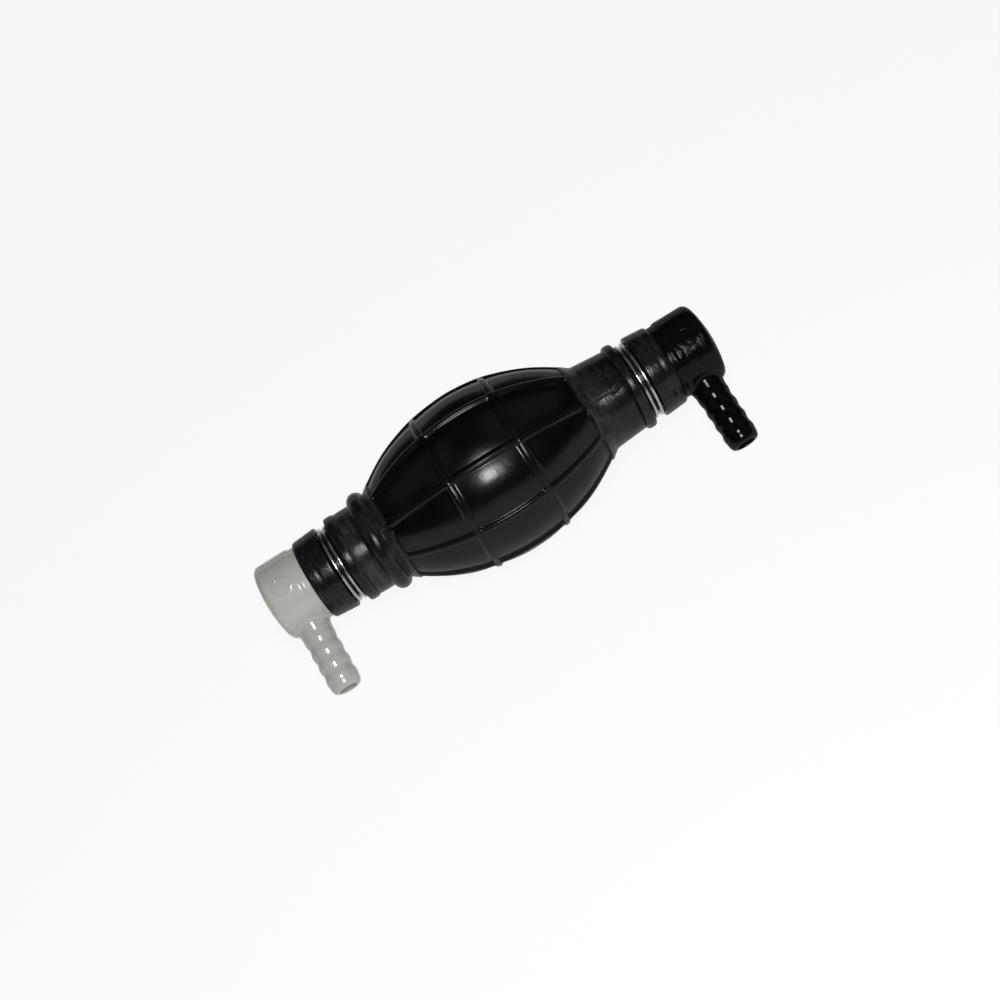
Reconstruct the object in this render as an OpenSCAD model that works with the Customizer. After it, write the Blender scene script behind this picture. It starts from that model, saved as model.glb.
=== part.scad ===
// Siphon bulb pump: a hollow ribbed rubber bulb with a one-way valve in each neck, and a
// moulded elbow with a barbed hose tail held in each end by a double-wire clip.
// Millimetres. X runs along the pump in the direction of flow and Z is up. The origin is on
// the surface that the pump lies on, under the middle of its outline.

/* [Bulb] */
// Diameter of the bulb over its ribs
bulb_d = 58.2; // [55:0.2:62]
// Length of the bulb between its necks
bulb_len = 78.6; // [72:0.2:86]
// Diameter of the bulb where it meets a neck
bulb_end_d = 30; // [29.6:0.2:33]
// Wall of the bulb without its ribs
bulb_wall = 3; // [2:0.1:4]
// Number of ribs along the bulb
rib_count = 9; // [7:1:10]
// Height of a lengthwise rib
rib_h = 1; // [0.7:0.05:1.15]
// Width of a lengthwise rib at its foot
rib_w = 2.4; // [2.4:0.1:3.6]
// Turn from the hose tails to the nearest lengthwise rib, in degrees
rib_turn = 1.65; // [0:0.05:8]
// Distance of each ring rib from the middle of the bulb
ring_at = 13.3; // [9:0.1:20]
// Width of a ring rib at its foot
ring_w = 2.6; // [2.4:0.1:3.6]
// Height of a ring rib
ring_h = 0.85; // [0.4:0.05:0.9]
// Plain band at each end of the bulb, past the sunk panels
band_w = 3.2; // [2:0.1:5]

/* [Necks] */
// Length of each neck from the bulb to its open end
neck_len = 27.2; // [26:0.1:32]
// Diameter of the inlet neck between its beads
inlet_neck_d = 29.4; // [28.4:0.1:30]
// Diameter of the outlet neck where its taper ends
outlet_neck_d = 27.8; // [26.8:0.1:28.6]
// Diameter of the round bead at the root of the inlet neck
root_bead_d = 35.1; // [33:0.1:35.6]
// Width of that bead
root_bead_w = 6; // [5.8:0.1:6.6]
// Distance from the bulb to the middle of that bead
root_bead_at = 2.4; // [2:0.1:4]
// Diameter of the stop bead beside each clip
stop_bead_d = 30.5; // [30.2:0.1:31.6]
// Width of the inlet neck's stop bead
inlet_stop_w = 4.4; // [3:0.1:5]
// Width of the outlet neck's stop bead
outlet_stop_w = 4.6; // [3:0.1:5]
// Diameter of each end collar beside its clip
collar_d = 28.9; // [28:0.1:29.6]
// Diameter of each end collar at its open end
collar_end_d = 27.8; // [27:0.1:28.6]
// Length of the inlet neck's end collar
inlet_collar_len = 8.8; // [7:0.1:9.5]
// Length of the outlet neck's end collar
outlet_collar_len = 8.3; // [7:0.1:9.5]
// Rounding of each end collar's outer edge
collar_edge = 1; // [0.5:0.1:1.5]

/* [Clips] */
// Diameter of a clip over its wire
clip_d = 26.9; // [26.2:0.1:27.6]
// Diameter of the clip's wire
clip_wire = 1.5; // [1.2:0.1:1.7]
// Gap between the clip's two turns
clip_gap = 0.55; // [0.5:0.05:0.8]
// Part of the circle in which the wire crosses from one turn to the other, in degrees
clip_cross = 60; // [45:5:75]
// Turn from the hose tails to the middle of that crossing, in degrees
clip_turn = 105; // [60:5:180]

/* [Elbows] */
// Diameter of the elbow's barrel
barrel_d = 26.8; // [25.8:0.1:29]
// Length of the barrel up to the edge of its domed end
barrel_len = 12.1; // [11.2:0.1:14]
// Rise of the domed end
dome_h = 2.2; // [1.2:0.1:3]
// Rounding between the barrel and its domed end
dome_edge = 1.6; // [0.6:0.1:2]
// Diameter of the shoulder that meets the neck
shoulder_d = 25.8; // [24:0.1:26.4]
// Length of that shoulder
shoulder_len = 2.5; // [1.5:0.1:3]
// Diameter of the stem that goes into the neck
stem_d = 18.4; // [17.8:0.1:19]
// Length of the stem
stem_len = 22.5; // [21:0.1:24]
// Number of barbs on the stem
stem_barbs = 3; // [2:1:3]
// Height of a barb on the stem
stem_barb_h = 0.45; // [0.3:0.05:0.6]
// Diameter of the flow chamber inside the barrel
chamber_d = 10.8; // [8:0.1:11]
// Thickness of the barrel's closed end, at the middle
cap_wall = 4; // [3:0.1:5]

/* [Hose tails] */
// Length of a hose tail from the pump's axis to its tip
tail_len = 36.4; // [34:0.1:42]
// Distance from the neck's end to the middle of the hose tail
tail_at = 7.3; // [7.2:0.1:8.4]
// Diameter of a hose tail over its barbs
tail_d = 10.4; // [10.1:0.1:11.3]
// Diameter of a hose tail between its barbs
tail_waist_d = 9.8; // [9:0.1:10]
// Diameter of the bore in a hose tail
tail_bore_d = 6; // [4:0.1:6.4]
// Number of barbs on a hose tail
barb_count = 4; // [3:1:4]
// Distance from one barb to the next
barb_pitch = 5; // [4.2:0.1:5.1]
// Width of the flat land on a barb
barb_land = 0.8; // [0.4:0.1:1.4]
// Diameter of a hose tail's tip
tip_d = 7.8; // [7.2:0.1:8.4]
// Length of the rounding at the tip
tip_len = 3.2; // [2:0.1:3.6]
// Spread of the flared root where a hose tail leaves the barrel
root_flare = 0.8; // [0.3:0.1:1.2]

/* [Valves] */
// Diameter of the valve cartridge's bore in the stem
valve_bore_d = 13.6; // [13.2:0.1:14]
// Distance that the cartridge is set in from the stem's end
valve_inset = 1.8; // [0.5:0.1:3]
// Wall of the cartridge
valve_wall = 1.4; // [1.3:0.05:1.6]
// Thickness of the cartridge's seat plate
seat_t = 3.2; // [2.8:0.1:3.6]
// Diameter of the port through the seat plate
port_d = 6.4; // [5:0.1:6.8]
// Height of the raised lip round the port
lip_h = 0.4; // [0.2:0.05:0.6]
// Diameter of the poppet's disc and its seal
poppet_d = 8.8; // [8.4:0.1:9.4]
// Thickness of the poppet's disc
poppet_t = 1.4; // [1:0.1:2]
// Thickness of the poppet's seal
seal_t = 1; // [0.8:0.1:1.4]
// Diameter of the nose that holds the seal
nose_d = 3.2; // [2.4:0.1:3.8]
// Diameter of the poppet's guide pin
pin_d = 2.2; // [1.6:0.1:2.4]
// Travel of the poppet
travel = 2.5; // [1.5:0.1:2.7]
// Length of the closed valve's spring
spring_len = 6.4; // [6.2:0.1:7.2]
// Diameter of the spring's wire
spring_wire = 0.5; // [0.4:0.05:0.6]
// Diameter of the spring to the middle of its wire
spring_d = 4.8; // [4.4:0.1:5.2]
// Turns of the spring
spring_turns = 5; // [4:1:5]
// Thickness of the spring's retainer
retainer_t = 1.6; // [1.2:0.1:2]
// Diameter of the O-ring's section
o_ring_wire = 1.5; // [1.2:0.1:1.7]

/* [Fits] */
// Radial clearance between a stem and the neck that grips it
stem_fit = 0.05; // [0.02:0.01:0.08]
// Clearance between pieces that are pressed or set together
set_fit = 0.03; // [0.02:0.01:0.06]
// Radial clearance of a guide pin in its retainer
pin_fit = 0.08; // [0.04:0.01:0.1]
// Radial clearance between a clip and the floor of its groove
clip_fit = 0.22; // [0.18:0.01:0.3]
// Clearance on each side of a clip in its groove
clip_side = 0.1; // [0.05:0.01:0.2]

/* [Hidden] */
$fn = 96;

rubber = [0.07, 0.07, 0.075];
zinc = [0.76, 0.78, 0.74];
grey_plastic = [0.62, 0.62, 0.58];
black_plastic = [0.03, 0.03, 0.035];
valve_plastic = [0.88, 0.87, 0.82];
seal_rubber = [0.16, 0.16, 0.17];
spring_steel = [0.72, 0.73, 0.75];

// Bulb: an arc along the bulb, through its middle and both of its ends
bulb_r = bulb_d / 2;
bulb_half = bulb_len / 2;
arc_rise = bulb_r - bulb_end_d / 2;
arc_r = (bulb_half * bulb_half + arc_rise * arc_rise) / (2 * arc_rise);
arc_middle = bulb_r - arc_r;
panel_r = bulb_r - rib_h;
panel_half = bulb_half - band_w;
band_rise = 0.1;
band_end_r = arc_middle + sqrt(pow(arc_r + band_rise, 2) - bulb_half * bulb_half);
rib_pitch = 360 / rib_count;
neck_end = bulb_half + neck_len;

// A bead or rib is round on top: the radius of the circle of width w that rises by h
function crown_r(w, h) = (w * w / 4 + h * h) / (2 * h);

// At rest one rib and the panel beside it lie on the surface, and the hose tails hang low
rib_crown = crown_r(rib_w, rib_h);
rest_turn = acos((panel_r - rib_crown) / (bulb_r - rib_crown));
tail_tilt = 90 + rib_turn - rib_pitch * round(45 / rib_pitch) - rest_turn;
axis_z = panel_r;
tail_front = tail_len * cos(tail_tilt) + tip_d / 2 * sin(tail_tilt);
axis_y = (tail_front - panel_r) / 2;
tail_turn = tail_tilt - 90;

// Clips
wire_r = clip_wire / 2;
clip_r = clip_d / 2 - wire_r;
clip_pitch = clip_wire + clip_gap;
groove_r = clip_r - wire_r - clip_fit;
groove_w = clip_pitch + clip_wire + 2 * clip_side;
stop_foot = 0.2;
loop_rings = 24;
tube_sides = 6;

// Elbows
shoulder_at = neck_end + stem_fit;
barrel_at = shoulder_at + shoulder_len;
barrel_end = barrel_at + barrel_len;
barrel_r = barrel_d / 2;
dome_r = (barrel_r * barrel_r + dome_h * dome_h) / (2 * dome_h);
dome_middle = barrel_end + dome_h - dome_r;
edge_at = dome_middle + sqrt(pow(dome_r - dome_edge, 2) - pow(barrel_r - dome_edge, 2));
tail_x = shoulder_at + tail_at;
stem_r = stem_d / 2;
stem_tip = shoulder_at - stem_len;
stem_lead = 1;
stem_barb_pitch = (stem_len - 2 * stem_lead) / (stem_barbs + 1);
stem_barb_land = 0.8;
throat_r = stem_r - 0.8;
throat_gap = 0.3;

// Hose tails: the last barb ends where the tip's rounding starts
last_barb = tail_len - tip_len;
first_land = last_barb - barb_count * barb_pitch;
tip_steps = 8;
root_len = 2 * (first_land - barrel_r);

// Valves: inlet_seat and outlet_seat are the seat plates' downstream faces, and the rest of a
// valve follows from its seat along the flow
valve_bore_r = valve_bore_d / 2;
cartridge_r = valve_bore_r - set_fit;
cavity_r = cartridge_r - valve_wall;
seal_gap = 0.05;
seal_at = lip_h + seal_gap;
disc_at = seal_at + seal_t;
spring_at = disc_at + poppet_t;
retainer_at = spring_at + spring_len;
cartridge_len = seat_t + retainer_at + retainer_t;
cartridge_stop = stem_tip + valve_inset + cartridge_len;
inlet_seat = -cartridge_stop + seat_t;
outlet_seat = cartridge_stop - cartridge_len + seat_t;
lip_w = 0.6;
o_ring_groove_w = o_ring_wire + 0.4;
retainer_r = cavity_r + 0.6;
hub_r = spring_d / 2 + spring_wire / 2 + 0.3;
sleeve_r = spring_d / 2 - spring_wire / 2 - 0.15;
sleeve_len = spring_len - travel - set_fit;
rim_w = 0.9;
spoke_w = 1.2;
spoke_count = 4;
pin_past_retainer = 1;
curl_rings = 8;

// The pump's axis: local Z runs along it, and local X points down
module on_axis(at = 0) translate([at, axis_y, axis_z]) rotate([0, 90, 0]) children();

// The inlet end is the mirror image of the outlet end
module inlet_side() mirror([1, 0, 0]) children();

// A round bead on a surface of radius foot_r, for a revolved outline
module bead(at, w, foot_r, crest_r) {
    crown = crown_r(w, crest_r - foot_r);
    translate([crest_r - crown, at]) circle(r = crown);
}

// Outline of the bulb itself: sunk panels, a plain band at each end that stands a little over
// the lengthwise ribs, and two ring ribs that stand a little under them
module bulb_outline() {
    ring_foot = arc_middle + sqrt(pow(arc_r - rib_h, 2) - ring_at * ring_at);
    intersection() {
        translate([arc_middle, 0]) circle(r = arc_r - rib_h);
        translate([0, -bulb_half]) square([bulb_r, bulb_len]);
    }
    for (start = [-bulb_half, panel_half])
        intersection() {
            translate([arc_middle, 0]) circle(r = arc_r + band_rise);
            translate([0, start]) square([bulb_r, band_w]);
        }
    for (at = [-ring_at, ring_at]) bead(at, ring_w, ring_foot, ring_foot + ring_h);
}

// Outline of an end collar, from the clip's groove to the neck's open end
module collar_outline(len) {
    end_r = collar_end_d / 2;
    polygon([
        [0, neck_end - len], [collar_d / 2, neck_end - len],
        [end_r, neck_end - collar_edge], [end_r - collar_edge, neck_end], [0, neck_end]
    ]);
    translate([end_r - collar_edge, neck_end - collar_edge]) circle(r = collar_edge);
}

// Outline of a neck: root radius, radius at the groove, stop bead and collar. The groove's wall
// cuts the stop bead a little above its foot
module neck_outline(root_r, neck_r, stop_w, collar_len) {
    groove_at = neck_end - collar_len - groove_w;
    intersection() {
        square([bulb_r, groove_at]);
        union() {
            polygon([
                [0, panel_half], [root_r, panel_half], [root_r, bulb_half],
                [neck_r, groove_at], [neck_r, neck_end], [0, neck_end]
            ]);
            bead(groove_at - stop_w / 2, stop_w + 2 * stop_foot, neck_r, stop_bead_d / 2);
        }
    }
    square([groove_r, neck_end - collar_edge]);
    collar_outline(collar_len);
}

// Outline of a stem with its barbs, grown all round for the bore that grips it
function stem_points(grow) = [
    [0, stem_tip - (grow > 0 ? throat_gap : 0)],
    [stem_r - 0.4 + grow, stem_tip - (grow > 0 ? throat_gap : 0)],
    [stem_r + grow, stem_tip + stem_lead],
    for (i = [1 : stem_barbs])
        let (at = stem_tip + stem_lead + i * stem_barb_pitch)
        each [
            [stem_r + grow, at - stem_barb_pitch / 2 - grow],
            [stem_r + stem_barb_h + grow, at - stem_barb_land - grow],
            [stem_r + stem_barb_h + grow, at + grow],
            [stem_r + grow, at + grow]
        ],
    [stem_r + grow, barrel_at],
    [0, barrel_at]
];

module bulb_cavity_outline() {
    inner_arc = arc_r - rib_h - bulb_wall;
    cavity_half = sqrt(inner_arc * inner_arc - pow(throat_r - arc_middle, 2));
    intersection() {
        translate([arc_middle, 0]) circle(r = inner_arc);
        translate([0, -cavity_half]) square([bulb_r, 2 * cavity_half]);
    }
    translate([0, -stem_tip]) square([throat_r, 2 * stem_tip]);
    polygon(stem_points(stem_fit));
    mirror([0, 1]) polygon(stem_points(stem_fit));
}

// One lengthwise rib: a round section swept along the bulb's arc
module lengthwise_rib() {
    reach = asin(panel_half / arc_r) + 1;
    translate([arc_middle, 0, 0])
        rotate([90, 0, 0])
            rotate([0, 0, -reach])
                rotate_extrude(angle = 2 * reach)
                    translate([arc_r - rib_crown, 0]) circle(r = rib_crown);
}

module bulb() color(rubber) on_axis() {
    rotate_extrude() difference() {
        union() {
            bulb_outline();
            neck_outline(band_end_r, outlet_neck_d / 2, outlet_stop_w, outlet_collar_len);
            mirror([0, 1]) {
                neck_outline(inlet_neck_d / 2, inlet_neck_d / 2, inlet_stop_w, inlet_collar_len);
                bead(bulb_half + root_bead_at, root_bead_w, inlet_neck_d / 2, root_bead_d / 2);
            }
        }
        bulb_cavity_outline();
    }
    for (i = [0 : rib_count - 1])
        rotate([0, 0, tail_turn - rib_turn + i * rib_pitch]) lengthwise_rib();
}

// Wound wire: an unbroken tube of tube_sides corners along centres, with out as each
// centre's outward direction
function unit(v) = v / norm(v);
function along(centres, i) =
    unit(centres[min(i + 1, len(centres) - 1)] - centres[max(i - 1, 0)]);
function ring_corners(centre, ahead, out, r) =
    let (side = unit(cross(ahead, out)), up = cross(side, ahead))
    [for (k = [0 : tube_sides - 1])
        let (a = 360 * k / tube_sides) centre + r * (cos(a) * up + sin(a) * side)];
function wire_corners(centres, outs, r) = [
    for (i = [0 : len(centres) - 1]) each ring_corners(centres[i], along(centres, i), outs[i], r)
];
function wire_faces(rings) = [
    for (i = [0 : rings - 2], k = [0 : tube_sides - 1])
        let (
            a = i * tube_sides + k,
            b = i * tube_sides + (k + 1) % tube_sides,
            c = a + tube_sides,
            d = b + tube_sides
        )
        each [[a, b, d], [a, d, c]],
    for (k = [1 : tube_sides - 2]) each [
        [0, k + 1, k],
        [(rings - 1) * tube_sides, (rings - 1) * tube_sides + k, (rings - 1) * tube_sides + k + 1]
    ]
];
module wound_wire(centres, outs, r)
    polyhedron(points = wire_corners(centres, outs, r), faces = wire_faces(len(centres)));

// Least gap between corners that are at least half a turn apart along the wire
function least_gap(corners, apart) = min([
    for (i = [0 : len(corners) - 1 - apart]) for (j = [i + apart : len(corners) - 1])
        norm(corners[i] - corners[j])
]);

function turn_out(a) = [cos(a), sin(a), 0];
function turn_ahead(a) = [-sin(a), cos(a), 0];

// A winding's centres: straight for one wire diameter at each end, square to the radius
function winding(angles, radius, heights, wire) = concat(
    [radius * turn_out(angles[0]) - wire * turn_ahead(angles[0]) + [0, 0, heights[0]]],
    [for (i = [0 : len(angles) - 1]) radius * turn_out(angles[i]) + [0, 0, heights[i]]],
    [radius * turn_out(angles[len(angles) - 1]) + wire * turn_ahead(angles[len(angles) - 1])
        + [0, 0, heights[len(angles) - 1]]]
);
function winding_outs(angles) = concat(
    [turn_out(angles[0])], [for (a = angles) turn_out(a)], [turn_out(angles[len(angles) - 1])]
);

// Clip: two flat turns side by side, and the wire crosses from one to the other at the back
clip_ends = clip_cross / 2 + 10;
clip_step = 360 / loop_rings;
clip_angles = [for (a = [clip_ends : clip_step : 720 - clip_ends]) a];
function cross_over(a) =
    let (t = min(1, max(0, (a - 360 + clip_cross / 2) / clip_cross))) t * t * (3 - 2 * t) - 0.5;
clip_heights = [for (a = clip_angles) clip_pitch * cross_over(a)];
clip_centres = winding(clip_angles, clip_r, clip_heights, clip_wire);
clip_outs = winding_outs(clip_angles);

module clip(collar_len)
    color(zinc)
        on_axis(neck_end - collar_len - groove_w / 2)
            rotate([0, 0, tail_turn + clip_turn])
                wound_wire(clip_centres, clip_outs, wire_r);

// Spring: open turns from the poppet's disc to the retainer
spring_rise = spring_len - spring_wire - 2 * set_fit;
spring_angles = [for (i = [0 : spring_turns * curl_rings]) i * 360 / curl_rings];
spring_heights = [
    for (a = spring_angles) spring_wire / 2 + set_fit + spring_rise * a / (360 * spring_turns)
];
spring_centres = winding(spring_angles, spring_d / 2, spring_heights, spring_wire);
spring_outs = winding_outs(spring_angles);

module spring(seat)
    color(spring_steel)
        on_axis(seat + spring_at)
            wound_wire(spring_centres, spring_outs, spring_wire / 2);

echo(clip_least_gap = least_gap(
    wire_corners(clip_centres, clip_outs, wire_r), tube_sides * loop_rings / 2));
echo(spring_least_gap = least_gap(
    wire_corners(spring_centres, spring_outs, spring_wire / 2), tube_sides * curl_rings / 2));

// Hose tail: lands with a steep side towards the barrel and a ramp towards the tip
tail_points = [
    [0, 0],
    [tail_d / 2 + root_flare, 0],
    [tail_d / 2 + root_flare, barrel_r - root_len / 2],
    [tail_d / 2, barrel_r + root_len / 2],
    [tail_d / 2, first_land],
    for (i = [1 : barb_count])
        let (at = first_land + i * barb_pitch)
        each [
            [tail_waist_d / 2, at - barb_land],
            [tail_d / 2, at - barb_land],
            [tail_d / 2, at]
        ],
    for (i = [1 : tip_steps])
        let (a = 90 * i / tip_steps)
        [tip_d / 2 + (tail_d - tip_d) / 2 * cos(a), last_barb + tip_len * sin(a)],
    [0, tail_len]
];

// The hose tail's own axis: local Z runs out of the barrel, and the outline's seam is turned
// away from the neck
module on_tail()
    translate([0, 0, tail_x])
        rotate([0, 0, tail_turn])
            rotate([0, 90, 0])
                rotate([0, 0, 45]) children();

// Outline of the shoulder, the barrel and its domed end
module barrel_outline() {
    translate([0, shoulder_at]) square([shoulder_d / 2, shoulder_len + 1]);
    translate([0, barrel_at]) square([barrel_r, edge_at - barrel_at]);
    translate([barrel_r - dome_edge, edge_at]) circle(r = dome_edge);
    intersection() {
        translate([0, dome_middle]) circle(r = dome_r);
        translate([0, barrel_at]) square([barrel_r - dome_edge, barrel_len + dome_h]);
    }
}

module elbow() on_axis() difference() {
    union() {
        rotate_extrude() polygon(stem_points(0));
        rotate_extrude() barrel_outline();
        on_tail() rotate_extrude() polygon(tail_points);
    }
    translate([0, 0, stem_tip - 1]) cylinder(h = cartridge_stop - stem_tip + 1, r = valve_bore_r);
    translate([0, 0, stem_tip])
        cylinder(h = barrel_end + dome_h - cap_wall - stem_tip, d = chamber_d);
    on_tail() cylinder(h = tail_len + 1, d = tail_bore_d);
}

// Valve cartridge: seat plate with its port and lip, O-ring groove and a ledge for the retainer
module valve_body(seat) color(valve_plastic) on_axis(seat) rotate_extrude() difference() {
    translate([0, -seat_t]) square([cartridge_r, cartridge_len]);
    translate([0, -seat_t - 1]) square([port_d / 2, seat_t + 2]);
    difference() {
        square([cavity_r, cartridge_len]);
        translate([port_d / 2, 0]) square([lip_w, lip_h]);
    }
    translate([0, retainer_at]) square([retainer_r + set_fit, cartridge_len]);
    translate([valve_bore_r - o_ring_wire - 2 * set_fit, -(seat_t + o_ring_groove_w) / 2])
        square([cartridge_r, o_ring_groove_w]);
}

module valve_o_ring(seat)
    color(seal_rubber)
        on_axis(seat - seat_t / 2)
            rotate_extrude()
                translate([valve_bore_r - set_fit - o_ring_wire / 2, 0]) circle(d = o_ring_wire);

module poppet(seat) color(valve_plastic) on_axis(seat) {
    translate([0, 0, disc_at]) cylinder(h = poppet_t, d = poppet_d);
    cylinder(h = disc_at, d = nose_d);
    translate([0, 0, disc_at])
        cylinder(h = poppet_t + spring_len + retainer_t + pin_past_retainer, d = pin_d);
}

module poppet_seal(seat)
    color(seal_rubber)
        on_axis(seat + seal_at)
            rotate_extrude()
                translate([nose_d / 2 + set_fit, 0])
                    square([(poppet_d - nose_d) / 2 - set_fit, seal_t - set_fit]);

// Spring retainer: a hub and a rim joined by spokes, with the flow between them. Its sleeve
// guides the pin inside the spring, and stops the poppet's disc at the end of its travel
module spring_retainer(seat) color(valve_plastic) on_axis(seat + retainer_at) difference() {
    union() {
        cylinder(h = retainer_t, r = hub_r);
        translate([0, 0, -sleeve_len]) cylinder(h = sleeve_len + 1, r = sleeve_r);
        difference() {
            cylinder(h = retainer_t, r = retainer_r);
            translate([0, 0, -1]) cylinder(h = retainer_t + 2, r = retainer_r - rim_w);
        }
        for (i = [0 : spoke_count - 1])
            rotate([0, 0, i * 360 / spoke_count])
                translate([0, -spoke_w / 2, 0]) cube([retainer_r - rim_w / 2, spoke_w, retainer_t]);
    }
    translate([0, 0, -sleeve_len - 1])
        cylinder(h = sleeve_len + retainer_t + 2, r = pin_d / 2 + pin_fit);
}

bulb();
inlet_side() clip(inlet_collar_len);  // inlet_clip
clip(outlet_collar_len);  // outlet_clip
color(grey_plastic) inlet_side() elbow();  // inlet_elbow
color(black_plastic) elbow();  // outlet_elbow
valve_body(inlet_seat);  // inlet_valve_body
valve_body(outlet_seat);  // outlet_valve_body
valve_o_ring(inlet_seat);  // inlet_valve_o_ring
valve_o_ring(outlet_seat);  // outlet_valve_o_ring
poppet(inlet_seat);  // inlet_poppet
poppet(outlet_seat);  // outlet_poppet
poppet_seal(inlet_seat);  // inlet_poppet_seal
poppet_seal(outlet_seat);  // outlet_poppet_seal
spring(inlet_seat);  // inlet_spring
spring(outlet_seat);  // outlet_spring
spring_retainer(inlet_seat);  // inlet_spring_retainer
spring_retainer(outlet_seat);  // outlet_spring_retainer
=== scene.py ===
"""Looks of a siphon bulb pump: a ribbed rubber bulb, two wire clips and two moulded elbows, one grey and
one black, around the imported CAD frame. Lengths are in millimetres until a mesh is made."""

import math

import bpy
import numpy as np
from mathutils import Matrix, Vector


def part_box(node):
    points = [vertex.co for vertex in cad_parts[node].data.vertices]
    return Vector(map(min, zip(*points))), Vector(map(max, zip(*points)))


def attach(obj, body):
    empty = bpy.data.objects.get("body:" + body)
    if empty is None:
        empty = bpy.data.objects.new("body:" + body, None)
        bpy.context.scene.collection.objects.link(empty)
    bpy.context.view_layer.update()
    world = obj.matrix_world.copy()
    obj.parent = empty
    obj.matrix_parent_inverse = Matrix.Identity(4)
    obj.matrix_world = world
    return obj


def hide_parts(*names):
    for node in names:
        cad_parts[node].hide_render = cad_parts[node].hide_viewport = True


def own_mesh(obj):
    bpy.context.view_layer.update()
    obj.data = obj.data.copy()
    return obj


MM = 0.001

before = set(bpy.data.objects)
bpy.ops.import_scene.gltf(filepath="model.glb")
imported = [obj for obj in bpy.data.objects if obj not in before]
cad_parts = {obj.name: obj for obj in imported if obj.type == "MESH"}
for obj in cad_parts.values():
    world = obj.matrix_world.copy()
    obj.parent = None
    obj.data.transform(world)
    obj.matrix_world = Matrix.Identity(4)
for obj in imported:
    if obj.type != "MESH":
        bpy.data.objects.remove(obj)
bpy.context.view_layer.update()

# ---------------------------------------------------------------- sizes, as in the CAD source
# A pair of sizes has -1 for the inlet's side and 1 for the outlet's
BULB_R = 29.1
BULB_HALF = 39.3
BULB_END_R = 15.0
BULB_WALL = 3.0
RIB_COUNT = 9
RIB_H = 1.0
RIB_TURN = 1.65
BAND_W = 3.2
BAND_RISE = 0.1
NECK_END = 66.5
NECK_R = {-1: 14.7, 1: 13.9}
ROOT_BEAD_R = 17.55
ROOT_BEAD_W = 6.0
ROOT_BEAD_AT = 2.4
STOP_BEAD_R = 15.25
COLLAR_LEN = {-1: 8.8, 1: 8.3}
COLLAR_R = 14.45
COLLAR_END_R = 13.9
COLLAR_EDGE = 1.0
CLIP_R = 12.7
CLIP_WIRE = 1.5
CLIP_PITCH = 2.05
CLIP_FIT = 0.22
CLIP_SIDE = 0.1
CLIP_TURN = 105.0
CLIP_CROSS = 60.0
BARREL_R = 13.4
BARREL_LEN = 12.1
DOME_H = 2.2
DOME_EDGE = 1.6
SHOULDER_R = 12.9
SHOULDER_LEN = 2.5
STEM_R = 9.2
STEM_LEN = 22.5
STEM_BARBS = 3
STEM_BARB_H = 0.45
STEM_LEAD = 1.0
STEM_LAND = 0.8
STEM_FIT = 0.05
CHAMBER_R = 5.4
CAP_WALL = 4.0
TAIL_LEN = 36.4
TAIL_AT = 7.3
TAIL_R = 5.2
TAIL_BORE_R = 3.0
TIP_R = 3.9
TIP_LEN = 3.2
TAIL_TILT = 36.2579
VALVE_BORE_R = 6.8
CARTRIDGE_STOP = 59.9
SPRING_R = 2.4
SPRING_WIRE = 0.5
SPRING_TURNS = 5
SPRING_LEN = 6.4
SET_FIT = 0.03
THROAT_STEP = 0.8

# ---------------------------------------------------------------- sizes of the visual forms alone
RING_AT = 12.9
RING_DROP = 0.15
STOP_W = {-1: 3.6, 1: 3.7}
STOP_SINK = 0.05
COLLAR_LINE = {-1: 62.5, 1: 63.6}
COLLAR_LIP = 0.55
ROOT_R = 5.95
ROOT_WAIST_R = 5.33
BARB_MIDDLE_R = 5.18
BARB_H = 0.2
BARB_PITCH = 4.85
FIRST_CREST = 17.5

ARC_RISE = BULB_R - BULB_END_R
ARC_R = (BULB_HALF**2 + ARC_RISE**2) / (2 * ARC_RISE)
ARC_MIDDLE = BULB_R - ARC_R
PANEL_HALF = BULB_HALF - BAND_W
GROOVE_R = CLIP_R - CLIP_WIRE - CLIP_FIT
GROOVE_W = CLIP_PITCH + CLIP_WIRE + 2 * CLIP_SIDE
SHOULDER_AT = NECK_END + STEM_FIT
BARREL_AT = SHOULDER_AT + SHOULDER_LEN
STEM_TIP = SHOULDER_AT - STEM_LEN
STEM_PITCH = (STEM_LEN - 2 * STEM_LEAD) / (STEM_BARBS + 1)
DOME_R = (BARREL_R**2 + DOME_H**2) / (2 * DOME_H)
DOME_MIDDLE = BARREL_AT + BARREL_LEN + DOME_H - DOME_R
TAIL_X = SHOULDER_AT + TAIL_AT
CHAMBER_END = BARREL_AT + BARREL_LEN + DOME_H - CAP_WALL

# The pump's axis runs along X through the O-ring's middle
ring_low, ring_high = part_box("inlet_valve_o_ring")
AXIS_Y = (ring_low.y + ring_high.y) / 2 / MM
AXIS_Z = (ring_low.z + ring_high.z) / 2 / MM
TAIL_TURN = TAIL_TILT - 90


# ---------------------------------------------------------------- shape helpers
def smoothstep(low, high, t):
    t = np.clip((t - low) / (high - low), 0, 1)
    return t * t * (3 - 2 * t)


def round_min(a, b, k):
    """Union of two distance fields with a fillet of radius k."""
    return np.maximum(k, np.minimum(a, b)) - np.hypot(np.maximum(k - a, 0), np.maximum(k - b, 0))


def round_max(a, b, k):
    """Intersection of two distance fields with its edge rounded to radius k."""
    return np.minimum(-k, np.maximum(a, b)) + np.hypot(np.maximum(k + a, 0), np.maximum(k + b, 0))


def bead_height(x, at, width, foot_r, crest_r):
    """Radius of a round bead, and less than foot_r where there is none."""
    rise = crest_r - foot_r
    crown = (width * width / 4 + rise * rise) / (2 * rise)
    inside = np.maximum(crown * crown - (x - at) ** 2, 0)
    return crest_r - crown + np.sqrt(inside)


def blend_up(a, b, k):
    """Higher of two radii, with a soft fillet about k wide where they meet."""
    h = np.maximum(k - np.abs(a - b), 0) / k
    return np.maximum(a, b) + h * h * k / 4


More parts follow.
